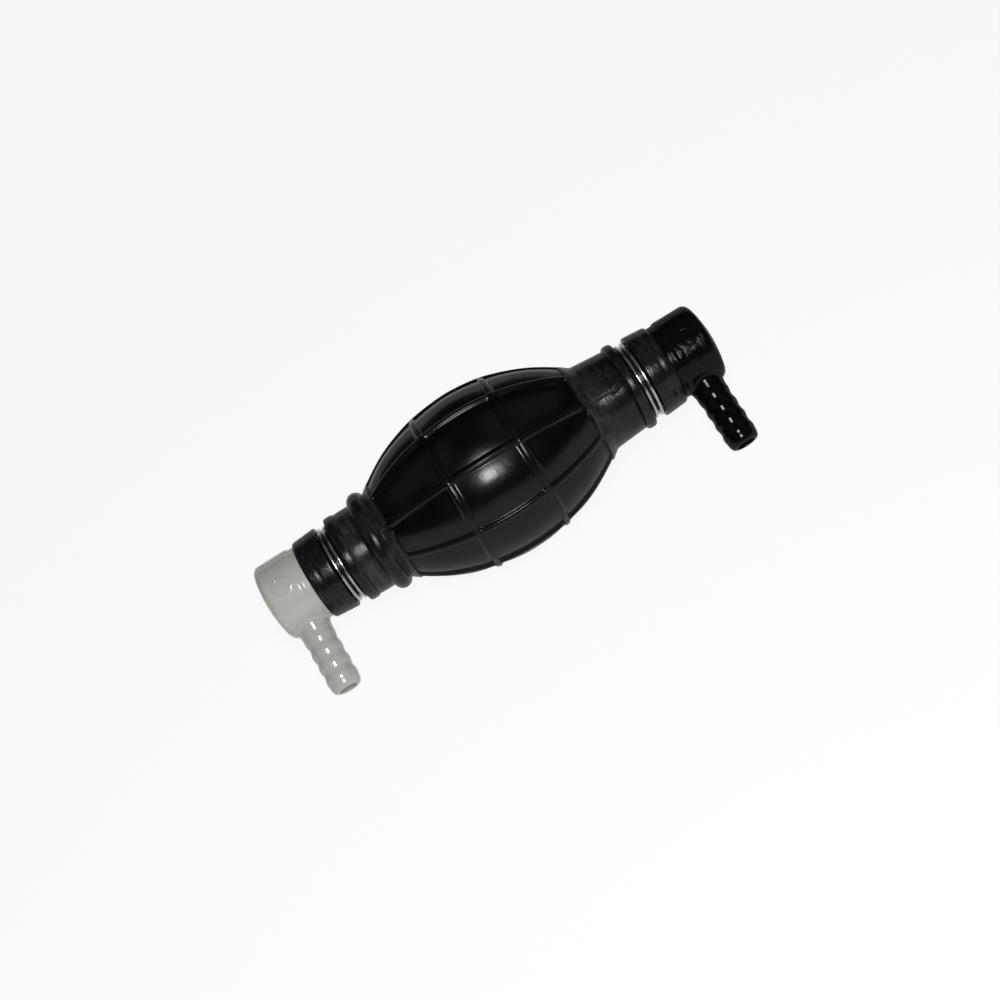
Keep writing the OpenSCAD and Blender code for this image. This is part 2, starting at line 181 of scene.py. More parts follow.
def make_mesh(name, points, quads, normals=None, triangles=()):
    """A smooth shaded object from points in millimetres in the row frame."""
    mesh = bpy.data.meshes.new(name)
    faces = [np.asarray(f, np.int32) for f in (quads, triangles) if len(f)]
    counts = np.concatenate([np.full(len(f), f.shape[1], np.int32) for f in faces])
    corners = np.concatenate([f.ravel() for f in faces])
    mesh.vertices.add(len(points))
    mesh.vertices.foreach_set("co", (np.asarray(points, float) * MM).ravel())
    mesh.loops.add(len(corners))
    mesh.loops.foreach_set("vertex_index", corners)
    mesh.polygons.add(len(counts))
    mesh.polygons.foreach_set("loop_start", np.concatenate([[0], np.cumsum(counts)[:-1]]).astype(np.int32))
    mesh.update(calc_edges=True)
    mesh.validate()
    mesh.shade_smooth()
    if normals is not None:
        mesh.normals_split_custom_set_from_vertices(normals.tolist())
    piece = bpy.data.objects.new(name, mesh)
    bpy.context.scene.collection.objects.link(piece)
    return piece


def on_axis(x, r, turn):
    """Points at x along the pump, r from its axis and turned from straight down, in degrees."""
    a = np.radians(turn)
    return np.stack([x + 0 * a, AXIS_Y + r * np.sin(a), AXIS_Z - r * np.cos(a)], -1)


# ---------------------------------------------------------------- bulb
RIB_TOP = 0.42
RIB_SIDE = 1.0
CROWN_H = 0.16
PANEL_CORNER = 1.2
# Soft rubber bulges between its ribs, more than the CAD's panels do
PANEL_RISE = 0.45
SECTOR = 360 / RIB_COUNT
MAIN_RIB = TAIL_TURN - RIB_TURN - 2 * SECTOR
# The panels get shallower by this share towards the bulb's ends, starting this far from its middle
PANEL_FADE = 0.12
PANEL_FADE_FROM = 20
# Raised band between the root bead and the stop bead on the inlet neck
BAND_FROM = 44.4
BAND_TO = 50.2
BAND_SINK = 0.3
BAND_STEP = 0.38
BAND_ARCH = 0.1
# The bulb's own arc plays no part further than this from its middle
ARC_REACH = 45
NECK_FILLET = 0.5
STATION_COUNT = 284
# Distances of the mesh's lengthwise lines from a rib's middle, on one side of it
COLUMNS = np.array([0, 0.22, 0.4, 0.55, 0.7, 0.85, 1.0, 1.15, 1.3, 1.48, 1.7, 2.1])
FLOOR_GAP = 0.01
# Notches at the ends of the main rib: the left one is part of a circle, and the right one a slanted slot
LEFT_NOTCH = -36.1
LEFT_NOTCH_R = 1.15
LEFT_NOTCH_DEPTH = 1.3
RIGHT_NOTCH = 36.2
RIGHT_NOTCH_HALF = 1.6
RIGHT_NOTCH_DEPTH = 1.2
NOTCH_EDGE = 0.42
# The slot's direction, as a run along the pump, a run beside the rib and their length
SLANT = (1.9, 2.5, 3.14)
LINE_DEPTH = 0.35
LINE_HALF = 0.2


def dent(x, at, half, depth):
    """Depth of a narrow round-bottomed groove that runs round the pump."""
    return depth * np.exp(-(((x - at) / half) ** 4))


def inlet_neck(x):
    """Radius of the inlet neck before its stop bead: the root bead, then the raised band."""
    band = smoothstep(BAND_FROM - 0.12, BAND_FROM + 0.12, x)
    arch = np.sin(np.pi * (x - BAND_FROM) / (BAND_TO - BAND_FROM))
    r = NECK_R[-1] - BAND_SINK + BAND_STEP * band + BAND_ARCH * band * arch
    root = bead_height(x, BULB_HALF + ROOT_BEAD_AT, ROOT_BEAD_W, NECK_R[-1], ROOT_BEAD_R)
    near_root = np.abs(x - BULB_HALF - ROOT_BEAD_AT) < 3.2
    r = np.where(near_root, blend_up(r, root, NECK_FILLET), r)
    return r - dent(x, BAND_TO + 0.22, 0.2, 0.5)


def outlet_neck(x, groove_at, bead_from):
    """Radius of the outlet neck before its stop bead: a taper, with a groove at the bead's foot."""
    t = np.clip((x - BULB_HALF) / (groove_at - BULB_HALF), 0, 1)
    r = BULB_END_R + BAND_RISE + (NECK_R[1] - BULB_END_R - BAND_RISE) * t
    return r - dent(x, bead_from - 0.05, 0.2, 0.4)


def collar_radius(x, groove_end, line_at):
    """Radius of a neck's end collar, with a moulding line and a rounded edge at each end."""
    slope = np.clip((x - groove_end) / (NECK_END - COLLAR_EDGE - groove_end), 0, 1)
    r = COLLAR_R + (COLLAR_END_R - COLLAR_R) * slope**1.3
    r = r - dent(x, line_at, 0.16, 0.16)
    lip = np.clip(groove_end + COLLAR_LIP - x, 0, COLLAR_LIP)
    over = np.clip(x - (NECK_END - COLLAR_EDGE), 0, COLLAR_EDGE)
    for edge, past in ((COLLAR_LIP, lip), (COLLAR_EDGE, over)):
        r = r - (edge - np.sqrt(np.maximum(edge**2 - past**2, 0)))
    return r


def neck_radius(x, side):
    """Outer radius of one neck at a distance x from the middle of the bulb."""
    groove_end = NECK_END - COLLAR_LEN[side]
    groove_at = groove_end - GROOVE_W
    width = STOP_W[side]
    middle = groove_at - width / 2
    foot = NECK_R[side]
    base = inlet_neck(x) if side < 0 else outlet_neck(x, groove_at, middle - width / 2)
    across = np.clip(1 - np.abs((x - middle) / (width / 2)) ** 3, 0, 1)
    bead = foot - STOP_SINK + (STOP_BEAD_R - foot + STOP_SINK) * np.sqrt(across)
    r = np.where(across > 0, np.maximum(base, bead), base)
    wall_in = smoothstep(groove_at - 0.25, groove_at + 0.05, x)
    r = r * (1 - wall_in) + GROOVE_R * wall_in
    wall_out = smoothstep(groove_end - 0.02, groove_end + 0.12, x)
    return r * (1 - wall_out) + collar_radius(x, groove_end, COLLAR_LINE[side]) * wall_out


def outer_radius(x):
    """Outer radius along the pump over the ribs' crests."""
    ax = np.abs(x)
    crest = ARC_MIDDLE + np.sqrt(ARC_R**2 - np.minimum(ax, ARC_REACH) ** 2)
    crest = crest + BAND_RISE * smoothstep(PANEL_HALF - 0.6, PANEL_HALF, ax)
    neck = np.where(x < 0, neck_radius(ax, -1), neck_radius(ax, 1))
    neck = np.where(ax < PANEL_HALF, 0, neck)
    return np.where(ax > ARC_REACH, neck, blend_up(crest, neck, NECK_FILLET))


def stations():
    """Places along the pump, closer together where the outline turns or an edge runs round it."""
    fine = np.linspace(-NECK_END, NECK_END, 20001)
    r = outer_radius(fine)
    slope = np.gradient(r, fine)
    bend = np.abs(np.gradient(np.arctan(slope), fine))
    density = np.hypot(1, slope) * (1.15 + np.minimum(2.2 * np.sqrt(bend), 5))
    for at in (RING_AT, PANEL_HALF):
        density = density + 6.5 * np.exp(-(((np.abs(fine) - at) / 1.1) ** 4))
    density = density + 3 * np.exp(-(((np.abs(fine) - RIGHT_NOTCH) / 1.9) ** 4))
    run = np.concatenate([[0], np.cumsum((density[1:] + density[:-1]) / 2 * np.diff(fine))])
    return np.interp(np.linspace(0, run[-1], STATION_COUNT), run, fine)


def bulb_grid(x):
    """Turn of every lengthwise line at each station, and its distance from the nearest rib's middle."""
    r = np.maximum(outer_radius(np.clip(x, -PANEL_HALF, PANEL_HALF)), 12)
    half = np.radians(SECTOR / 2) * r
    far = COLUMNS[-1] + (half[:, None] - COLUMNS[-1]) * np.linspace(0, 1, 6)[None, 1:]
    one_side = np.concatenate([np.tile(COLUMNS, (len(x), 1)), far], 1)
    sector = np.concatenate([one_side, -one_side[:, -2:0:-1]], 1)
    order = np.argsort(np.where(sector[0] < 0, sector[0] + 2 * half[0], sector[0]))
    sector = sector[:, order]
    turn = np.degrees(sector / r[:, None])
    turns = np.concatenate([turn + np.where(turn < 0, SECTOR, 0) + k * SECTOR for k in range(RIB_COUNT)], 1)
    return turns + MAIN_RIB, np.tile(np.abs(sector), (1, RIB_COUNT))


def panel_depth(x, from_rib):
    """How far the surface is sunk at x, at a distance from_rib from the nearest rib's middle."""
    ax = np.abs(x)
    to_ring = np.abs(ax - RING_AT) - RIB_TOP
    to_band = PANEL_HALF + 0.3 - ax
    across = from_rib - RIB_TOP
    along = np.minimum(to_ring, to_band)
    d = PANEL_CORNER - np.hypot(np.maximum(PANEL_CORNER - across, 0), np.maximum(PANEL_CORNER - along, 0))
    depth = RIB_H * (1 - PANEL_FADE * smoothstep(PANEL_FADE_FROM, PANEL_HALF, ax))
    sunk = depth * smoothstep(0, RIB_SIDE, d)
    half = np.maximum(np.radians(SECTOR / 2) * outer_radius(np.minimum(ax, 30)) - RIB_TOP - RIB_SIDE, 1)
    to_middle = np.clip(1 - (across - RIB_SIDE) / half, 0, 1)
    run = np.where(ax < RING_AT, RING_AT, (PANEL_HALF - RING_AT) / 2) - RIB_TOP - RIB_SIDE
    to_centre = np.clip(1 - (along - RIB_SIDE) / run, 0, 1)
    bulge = PANEL_RISE * (1 - to_middle**2) * (1 - to_centre**2)
    on_ring = (1 - smoothstep(RIB_TOP, RIB_TOP + 0.4, np.abs(ax - RING_AT))) * smoothstep(0.3, 0.9, across)
    from_crest = np.minimum(from_rib, np.abs(ax - RING_AT))
    crown = CROWN_H * (np.minimum(from_crest, RIB_TOP) / RIB_TOP) ** 2
    return np.maximum(sunk - bulge, RING_DROP * on_ring + crown)


# Path of the moulding line on the outlet neck: places along the pump and beside the main rib
LINE_X = np.array([38.3, 45.5, 45.9, 50.7])
LINE_ASIDE = np.array([0.66, 0.66, 1.7, -0.65])


def surface_marks(x, aside):
    """Small forms along the main rib's line: a notch at each end of it, and the moulding line on the neck."""
    from_end = np.hypot(x - LEFT_NOTCH, aside - 0.3)
    left = np.exp(-(((from_end - LEFT_NOTCH_R) / NOTCH_EDGE) ** 4)) * smoothstep(-35.4, -36.2, x)
    # off is the distance across the right notch, and run the distance along it
    slant_x, slant_aside, slant = SLANT
    off = ((x - RIGHT_NOTCH) * slant_aside + (aside - 0.5) * slant_x) / slant
    run = ((x - RIGHT_NOTCH) * slant_x - (aside - 0.5) * slant_aside) / slant
    right = np.exp(-((off / NOTCH_EDGE) ** 4)) * np.exp(-((run / RIGHT_NOTCH_HALF) ** 6))
    line_at = np.interp(x, LINE_X, LINE_ASIDE)
    steep = np.hypot(1, np.gradient(LINE_ASIDE, LINE_X)[np.clip(np.searchsorted(LINE_X, x) - 1, 0, 3)])
    ends = smoothstep(38.1, 38.5, x) * smoothstep(50.9, 50.5, x)
    line = LINE_DEPTH * ends * np.exp(-(((aside - line_at) / (LINE_HALF * steep)) ** 2))
    return LEFT_NOTCH_DEPTH * left + RIGHT_NOTCH_DEPTH * right + line


def unevenness(x, turn):
    """About a tenth of a millimetre of slow waviness, as soft moulded rubber has."""
    a = np.radians(turn)
    wave = 0.05 * np.sin(0.21 * x + 2 * a + 0.7) + 0.04 * np.sin(0.13 * x - 3 * a + 2.1)
    wave = wave + 0.03 * np.sin(0.47 * x + 5 * a + 1.3)
    return wave * smoothstep(48, 36, np.abs(x))


def stem_radius(x):
    """Radius of an elbow's stem at a distance x from the middle of the bulb."""
    r = STEM_R - 0.4 * np.clip(STEM_LEAD - (x - STEM_TIP), 0, 1)
    for i in range(1, STEM_BARBS + 1):
        at = STEM_TIP + STEM_LEAD + i * STEM_PITCH
        ramp = np.clip((x - at + STEM_PITCH / 2) / (STEM_PITCH / 2 - STEM_LAND), 0, 1)
        r = r + STEM_BARB_H * ramp * (x <= at)
    return r


def inner_outline():
    """Half of the inside of the bulb, from one open end to the middle, as distance and radius."""
    wall = STEM_R + STEM_FIT
    barbs = []
    for i in range(STEM_BARBS, 0, -1):
        at = STEM_TIP + STEM_LEAD + i * STEM_PITCH
        top = STEM_R + STEM_BARB_H + STEM_FIT
        barbs += [(at + 0.08, wall), (at + 0.06, top), (at - 0.85, top)]
        barbs += [(at - STEM_PITCH / 2 - STEM_FIT, wall)]
    inner = ARC_R - RIB_H - BULB_WALL
    throat = STEM_R - THROAT_STEP
    cavity_half = math.sqrt(inner**2 - (throat - ARC_MIDDLE) ** 2)
    bore = [(NECK_END, wall), *barbs, (STEM_TIP + 0.8, wall)]
    bore += [(STEM_TIP - 0.3, STEM_R - 0.35), (STEM_TIP - 0.32, throat), (cavity_half, throat)]
    arc = [(x, ARC_MIDDLE + math.sqrt(inner**2 - x * x)) for x in np.linspace(cavity_half - 2, 0, 14)]
    return np.array(bore + arc)


def make_bulb():
    x = stations()
    turns, from_rib = bulb_grid(x)
    xs = np.repeat(x[:, None], turns.shape[1], 1)
    radius = np.repeat(outer_radius(x)[:, None], turns.shape[1], 1)
    inside_panels = smoothstep(PANEL_HALF + 0.5, PANEL_HALF - 0.2, np.abs(xs))
    radius = radius - panel_depth(xs, from_rib) * inside_panels
    local_r = np.maximum(outer_radius(np.clip(x, -PANEL_HALF, PANEL_HALF)), 12)[:, None]
    aside = np.radians((turns - MAIN_RIB + 180) % 360 - 180) * local_r
    radius = radius - surface_marks(xs, aside) + unevenness(xs, turns)
    count = turns.shape[1]
    outer = on_axis(xs, radius, turns)
    # The soft wall rests flat on the floor
    outer[..., 2] = np.maximum(outer[..., 2], FLOOR_GAP)
    half = inner_outline()
    lining = np.concatenate([half, (half * [-1, 1])[-2::-1]])
    share = np.linspace(0, 1, len(lining))[:, None]
    lining_turns = turns[-1][None] * (1 - share) + turns[0][None] * share
    inner = on_axis(lining[:, :1] + 0 * lining_turns, lining[:, 1:] + 0 * lining_turns, lining_turns)
    points = np.concatenate([outer, inner]).reshape(-1, 3)
    rings = len(x) + len(lining)
    i = np.arange(rings)[:, None]
    j = np.arange(count)[None]
    a = i * count + j
    b = i * count + (j + 1) % count
    c = (i + 1) % rings * count + (j + 1) % count
    d = (i + 1) % rings * count + j
    quads = np.stack([a, b, c, d], -1).reshape(-1, 4)
    return make_mesh("rubber_bulb", points, quads)


# ---------------------------------------------------------------- elbow, as a distance field
RING_MARK_X = 74.7
RING_MARK_R = 3.0
RING_MARK_H = 0.17
RING_MARK_W = 0.22
# The mark's disc stands this much as high as its ring
MARK_DISC_SHARE = 0.3
# The mark is on the side of the barrel past this distance from the axis
MARK_FROM = 5
GRID_STEP = 0.29
GRID_MARGIN = 0.6
# How far the shoulder reaches into the barrel
SHOULDER_LAP = 2
# Radii of the elbow's rounded edges and fillets
BARREL_EDGE = 0.9
SHOULDER_EDGE = 0.25
SHOULDER_FILLET = 0.8
TAIL_EDGE = 0.45
TAIL_FILLET = 0.9
BORE_EDGE = 0.3


def tail_radius(s):
    """Radius of a hose tail at s from the pump's axis: a flared root, rounded barbs and a rounded tip."""
    barbs = BARB_MIDDLE_R + BARB_H * np.cos(2 * np.pi * (s - FIRST_CREST) / BARB_PITCH)
    root_at = [BARREL_R - 1.5, FIRST_CREST - 1.7, FIRST_CREST]
    root = np.interp(s, root_at, [ROOT_R, ROOT_WAIST_R, BARB_MIDDLE_R + BARB_H])
    last = TAIL_LEN - TIP_LEN
    t = np.clip((s - last) / TIP_LEN, 0, 1)
    tip = TIP_R + (TAIL_R - TIP_R) * np.sqrt(1 - t * t)
    return np.where(s < FIRST_CREST, root, np.where(s < last, barbs, tip))


# The tail's outline with its corners blurred, at steps along it, and the outline's slope there
SOFT_STEP = 0.02
SOFT_BLUR = 0.26
SOFT_REACH = 50
SOFT_S = np.arange(-2, 42, SOFT_STEP)
BLUR = np.exp(-((np.arange(-SOFT_REACH, SOFT_REACH + 1) * SOFT_STEP / SOFT_BLUR) ** 2) / 2)
SOFT_R = np.convolve(np.pad(tail_radius(SOFT_S), SOFT_REACH, mode="edge"), BLUR / BLUR.sum(), "valid")
SOFT_SLOPE = np.gradient(SOFT_R, SOFT_S)


def elbow_field(u, v, w):
    """Signed distance to an elbow. u runs along the pump from its middle, w along the hose tail and v
    across both."""
    r = np.hypot(v, w)
    dome = np.hypot(u - DOME_MIDDLE, r) - DOME_R
    barrel = round_max(r - BARREL_R, dome, DOME_EDGE)
    barrel = round_max(barrel, BARREL_AT - u, BARREL_EDGE)
    shoulder = round_max(r - SHOULDER_R, SHOULDER_AT - u, SHOULDER_EDGE)
    shoulder = round_max(shoulder, u - BARREL_AT - SHOULDER_LAP, 0.2)
    stem = np.maximum((r - stem_radius(u)) * 0.9, np.maximum(STEM_TIP - u, u - BARREL_AT))
    out = np.hypot(u - TAIL_X, v)
    slope = np.interp(w, SOFT_S, SOFT_SLOPE)
    tail = (out - np.interp(w, SOFT_S, SOFT_R)) / np.hypot(1, slope)
    tail = np.maximum(round_max(tail, w - TAIL_LEN, TAIL_EDGE), -w)
    body = round_min(round_min(barrel, shoulder, SHOULDER_FILLET), tail, TAIL_FILLET)
    body = np.minimum(body, stem)
    from_mark = np.hypot(u - RING_MARK_X, w)
    marked = v > MARK_FROM
    ring = np.exp(-(((from_mark - RING_MARK_R) / RING_MARK_W) ** 2)) * marked
    disc = MARK_DISC_SHARE * smoothstep(RING_MARK_R + 0.1, RING_MARK_R - 0.3, from_mark) * marked
    body = body - RING_MARK_H * (ring + disc)
    valve_bore = np.maximum(r - VALVE_BORE_R, u - CARTRIDGE_STOP)
    chamber = np.maximum(r - CHAMBER_R, u - CHAMBER_END)
    tail_bore = np.maximum(out - TAIL_BORE_R, -w)
    hollow = np.minimum(np.minimum(valve_bore, chamber), tail_bore)
    return round_max(body, -hollow, BORE_EDGE)


def surface_net(field, low, high, step):
    """Points and quads of the surface where field is zero, one point in every grid cell that it crosses."""
    axes = [np.arange(a, b + step, step) for a, b in zip(low, high)]
    f = field(axes[0][:, None, None], axes[1][None, :, None], axes[2][None, None, :])
    inside = f < 0
    size = np.array(f.shape)
    cells = size - 1
    total = np.zeros(cells)
    place = np.zeros((*cells, 3))
    for axis in range(3):
        near = [slice(None)] * 3
        far = [slice(None)] * 3
        near[axis] = slice(0, -1)
        far[axis] = slice(1, None)
        f0, f1 = f[tuple(near)], f[tuple(far)]
        cross = inside[tuple(near)] != inside[tuple(far)]
        share = np.where(cross, f0 / np.where(cross, f0 - f1, 1), 0)
        others = [k for k in range(3) if k != axis]
        for p in (0, 1):
            for q in (0, 1):
                cut = [slice(None)] * 3
                cut[others[0]] = slice(p, size[others[0]] - 1 + p)
                cut[others[1]] = slice(q, size[others[1]] - 1 + q)
                hit = cross[tuple(cut)]
                total += hit
                place[..., axis] += np.where(hit, share[tuple(cut)], 0)
                place[..., others[0]] += hit * p
                place[..., others[1]] += hit * q
    used = total > 0
    number = np.full(cells, -1)
    number[used] = np.arange(used.sum())
    corner = np.stack(np.nonzero(used), -1)
    points = np.array(low) + (corner + place[used] / total[used][:, None]) * step
    quads = []
    for axis in range(3):
        o1, o2 = (axis + 1) % 3, (axis + 2) % 3
        near = [slice(1, -1)] * 3
        far = [slice(1, -1)] * 3
        near[axis] = slice(0, -1)
        far[axis] = slice(1, None)
        a_in = inside[tuple(near)]
        change = a_in != inside[tuple(far)]
        at = np.stack(np.nonzero(change), -1)
        at[:, o1] += 1
        at[:, o2] += 1
        ring = []
        for p, q in ((1, 1), (0, 1), (0, 0), (1, 0)):
            cell = at.copy()
            cell[:, o1] -= p
            cell[:, o2] -= q
            ring.append(number[tuple(cell.T)])
        quad = np.stack(ring, -1)
        flip = ~a_in[change]
        quad[flip] = quad[flip][:, ::-1]
        quads.append(quad)
    return points, np.concatenate(quads)


def slopes(field, p, h=0.01):
    """Gradient of the field at each point."""
    parts = []
    for axis in range(3):
        move = np.zeros(3)
        move[axis] = h
        parts.append((field(*(p + move).T) - field(*(p - move).T)) / (2 * h))
    return np.stack(parts, -1)


def make_elbows():
    low = (STEM_TIP - GRID_MARGIN, -BARREL_R - GRID_MARGIN, -BARREL_R - GRID_MARGIN)
    barrel_end = BARREL_AT + BARREL_LEN + DOME_H
    high = (barrel_end + GRID_MARGIN, BARREL_R + GRID_MARGIN + RING_MARK_H, TAIL_LEN + GRID_MARGIN)
    points, quads = surface_net(elbow_field, low, high, GRID_STEP)
    for _ in range(5):
        grad = slopes(elbow_field, points)
        move = elbow_field(*points.T)[:, None] * grad / np.maximum((grad**2).sum(1), 0.2)[:, None]
        points = points - np.clip(move, -GRID_STEP / 2, GRID_STEP / 2)
    normals = slopes(elbow_field, points)
    normals /= np.linalg.norm(normals, axis=1)[:, None]
    tilt = math.radians(TAIL_TILT)
    along = np.array([0, -math.cos(tilt), -math.sin(tilt)])
    across = np.array([0, -math.sin(tilt), math.cos(tilt)])
    made = []
    for name, side in (("grey_elbow", -1), ("black_elbow", 1)):
        turn = np.array([[side, 0, 0], across, along])
        placed = points @ turn + [0, AXIS_Y, AXIS_Z]
        # The frame (u, across, along) is left handed on the inlet's side, so its faces are turned over
        faces = quads if np.linalg.det(turn) > 0 else quads[:, ::-1]
        made.append(make_mesh(name, placed, faces, normals @ turn))
    return made


# ---------------------------------------------------------------- wound wire
# The first and the last ring of a wire are this share as wide as the others
END_NARROW = 0.72
# Places of the rings on a wire's straight end, and of the end itself: distances from the wound part,
# in wire diameters
END_RINGS = np.linspace(1, 0.12, 5)
END_AT = 1.02
# A clip's two turns, the angle that each of its ends stops short by, and its number of steps
CLIP_ANGLE = 720
CLIP_SHORT = 10
CLIP_STEPS = 180
SPRING_STEPS = 32


def sweep_wire(name, centres, outs, radius, sides):
    """A tube with round closed ends along centres, with outs as each centre's outward direction."""
    centres = np.asarray(centres, float)
    ahead = np.gradient(centres, axis=0)
    ahead /= np.linalg.norm(ahead, axis=1)[:, None]
    side = np.cross(ahead, outs)
    side /= np.linalg.norm(side, axis=1)[:, None]
    up = np.cross(side, ahead)
    angle = np.linspace(0, 2 * np.pi, sides, endpoint=False)[None, :, None]
    ring = np.cos(angle) * up[:, None] + np.sin(angle) * side[:, None]
    radii = np.full(len(centres), radius)
    radii[0] = radii[-1] = radius * END_NARROW
    points = (centres[:, None] + radii[:, None, None] * ring).reshape(-1, 3)
    rings = len(centres)
    i = np.arange(rings - 1)[:, None]
    j = np.arange(sides)[None]
    a = i * sides + j
    b = i * sides + (j + 1) % sides
    quads = np.stack([a, b, b + sides, a + sides], -1).reshape(-1, 4)
    caps = [(0, k + 1, k) for k in range(1, sides - 1)]
    last = (rings - 1) * sides
    caps += [(last, last + k, last + k + 1) for k in range(1, sides - 1)]
    return make_mesh(name, points, quads, triangles=caps)


def winding(angles, radius, heights, wire, at, turn, side=1):
    """A winding's centres and outward directions in the row frame. It is straight for about one wire
    diameter at each end."""
    a = np.radians(angles)
    out = np.stack([np.cos(a), np.sin(a), 0 * a], -1)
    ahead = np.stack([-np.sin(a), np.cos(a), 0 * a], -1)
    p = radius * out + np.stack([0 * a, 0 * a, heights], -1)
    lead = np.concatenate([[END_AT], END_RINGS])[:, None] * wire
    start = p[0] - lead * ahead[0]
    end = p[-1] + lead[::-1] * ahead[-1]
    p = np.concatenate([start, p, end])
    out = np.concatenate([np.tile(out[0], (len(start), 1)), out, np.tile(out[-1], (len(end), 1))])
    t = math.radians(turn)

    def placed(q, shift):
        x = q[:, 0] * math.cos(t) - q[:, 1] * math.sin(t)
        y = q[:, 0] * math.sin(t) + q[:, 1] * math.cos(t)
        return np.stack([side * (q[:, 2] + shift[0]), y + shift[1], shift[2] - x], -1)

    return placed(p, (at, AXIS_Y, AXIS_Z)), placed(out, (0, 0, 0))


def make_clip(side, name):
    ends = CLIP_CROSS / 2 + CLIP_SHORT
    middle = CLIP_ANGLE / 2
    angles = np.linspace(ends, CLIP_ANGLE - ends, CLIP_STEPS)
    crossed = smoothstep(middle - CLIP_CROSS / 2, middle + CLIP_CROSS / 2, angles)
    heights = CLIP_PITCH * (crossed - 0.5)
    at = NECK_END - COLLAR_LEN[side] - GROOVE_W / 2
    turn = TAIL_TURN + CLIP_TURN
    centres, outs = winding(angles, CLIP_R, heights, CLIP_WIRE, at, turn, side)
    return sweep_wire(name, centres, outs, CLIP_WIRE / 2, 20)


def make_spring(name, start):
    rise = SPRING_LEN - SPRING_WIRE - 2 * SET_FIT
    angles = np.linspace(0, 360 * SPRING_TURNS, SPRING_TURNS * SPRING_STEPS + 1)
    heights = SPRING_WIRE / 2 + SET_FIT + rise * angles / angles[-1]
    centres, outs = winding(angles, SPRING_R, heights, SPRING_WIRE, start, 0)
    return sweep_wire(name, centres, outs, SPRING_WIRE / 2, 10)


# ---------------------------------------------------------------- materials
# Stretches along the pump where the rubber's base colour is painted lighter, in metres: the necks with wear
# streaks and painted sheen, the inlet's foot and raised band with a stronger painted sheen.
# Over the first pair of places it fades in, and over the second it fades out
NECK_FADE = (0.0352, 0.0366)
FOOT_SHEEN_SPAN = ((-0.0408, -0.0396), (0.039, 0.048))
BAND_SHEEN_SPAN = ((-0.0512, -0.0505), (-0.0463, -0.0455))
# Places across the pump, in metres: the black elbow's skin is nearly smooth before the first, on the
# hose tail, and uneven past the second, on the barrel
BARREL_FADE = (-0.0125, -0.01)


class Nodes:
    """Short ways to add and link shader nodes."""

    def __init__(self, name):
        self.material = bpy.data.materials.new(name)
        self.material.use_nodes = True
        self.tree = self.material.node_tree
        self.shader = self.tree.nodes["Principled BSDF"]
        self.place = self.add("ShaderNodeTexCoord").outputs["Object"]

    def add(self, kind, **values):
        node = self.tree.nodes.new(kind)
        for key, value in values.items():
            setattr(node, key, value)
        return node

    def link(self, source, target):
        self.tree.links.new(source, target)

    def noise(self, scale, detail=3.0, rough=0.5, stretch=None):
        """Noise over the row frame. scale is in waves per metre, and stretch multiplies each axis."""
        node = self.add("ShaderNodeTexNoise")
        node.inputs["Scale"].default_value = scale
        node.inputs["Detail"].default_value = detail
        node.inputs["Roughness"].default_value = rough
        source = self.place
        if stretch:
            mapping = self.add("ShaderNodeMapping")
            mapping.inputs["Scale"].default_value = stretch
            self.link(source, mapping.inputs["Vector"])
            source = mapping.outputs["Vector"]
        self.link(source, node.inputs["Vector"])
        return node.outputs["Fac"]

    def spread(self, source, low, high, to_low, to_high, smooth=True):
        """Maps a value's range onto another one."""
        node = self.add("ShaderNodeMapRange")
        node.interpolation_type = "SMOOTHSTEP" if smooth else "LINEAR"
        for key, value in zip(("From Min", "From Max", "To Min", "To Max"), (low, high, to_low, to_high)):
            node.inputs[key].default_value = value
        self.link(source, node.inputs["Value"])
        return node.outputs["Result"]

    def math(self, operation, a, b=None):
        node = self.add("ShaderNodeMath", operation=operation)
        for socket, value in zip(node.inputs, (a, b)):
            if value is None:
                continue
            if isinstance(value, (int, float)):
                socket.default_value = value
            else:
                self.link(value, socket)
        return node.outputs["Value"]

    def mix(self, factor, dark, light):
        node = self.add("ShaderNodeMix", data_type="RGBA")
        for key, value in (("Factor", factor), ("A", dark), ("B", light)):
            socket = next(s for s in node.inputs if s.name == key and s.enabled)
            if isinstance(value, tuple):
                socket.default_value = (*value, 1)
            elif isinstance(value, (int, float)):
                socket.default_value = value
            else:
                self.link(value, socket)
        return next(s for s in node.outputs if s.enabled)

    def bump(self, height, distance, strength=1.0, normal=None):
        node = self.add("ShaderNodeBump")
        node.inputs["Strength"].default_value = strength
        node.inputs["Distance"].default_value = distance
        self.link(height, node.inputs["Height"])
        if normal is not None:
            self.link(normal, node.inputs["Normal"])
        return node.outputs["Normal"]

    def coordinate(self, axis):
        split = self.add("ShaderNodeSeparateXYZ")
        self.link(self.place, split.inputs["Vector"])
        return split.outputs[axis]

    def between(self, source, span):
        """1 inside a span, fading in over its first pair of values and out over its second."""
        (rise_from, rise_to), (fall_from, fall_to) = span
        rise = self.spread(source, rise_from, rise_to, 0, 1)
        return self.math("MULTIPLY", rise, self.spread(source, fall_from, fall_to, 1, 0))

    def coat(self, roughness, weight, coat_roughness):
        """Leaves the reflections to a clear coat over a dull base."""
        self.shader.inputs["Specular IOR Level"].default_value = 0.0
        self.shader.inputs["Roughness"].default_value = roughness
        self.shader.inputs["Coat Weight"].default_value = weight
        self.shader.inputs["Coat Roughness"].default_value = coat_roughness

    def skin(self, normal):
        """Gives the base and its coat the same bumps."""
        self.link(normal, self.shader.inputs["Normal"])
        self.link(normal, self.shader.inputs["Coat Normal"])


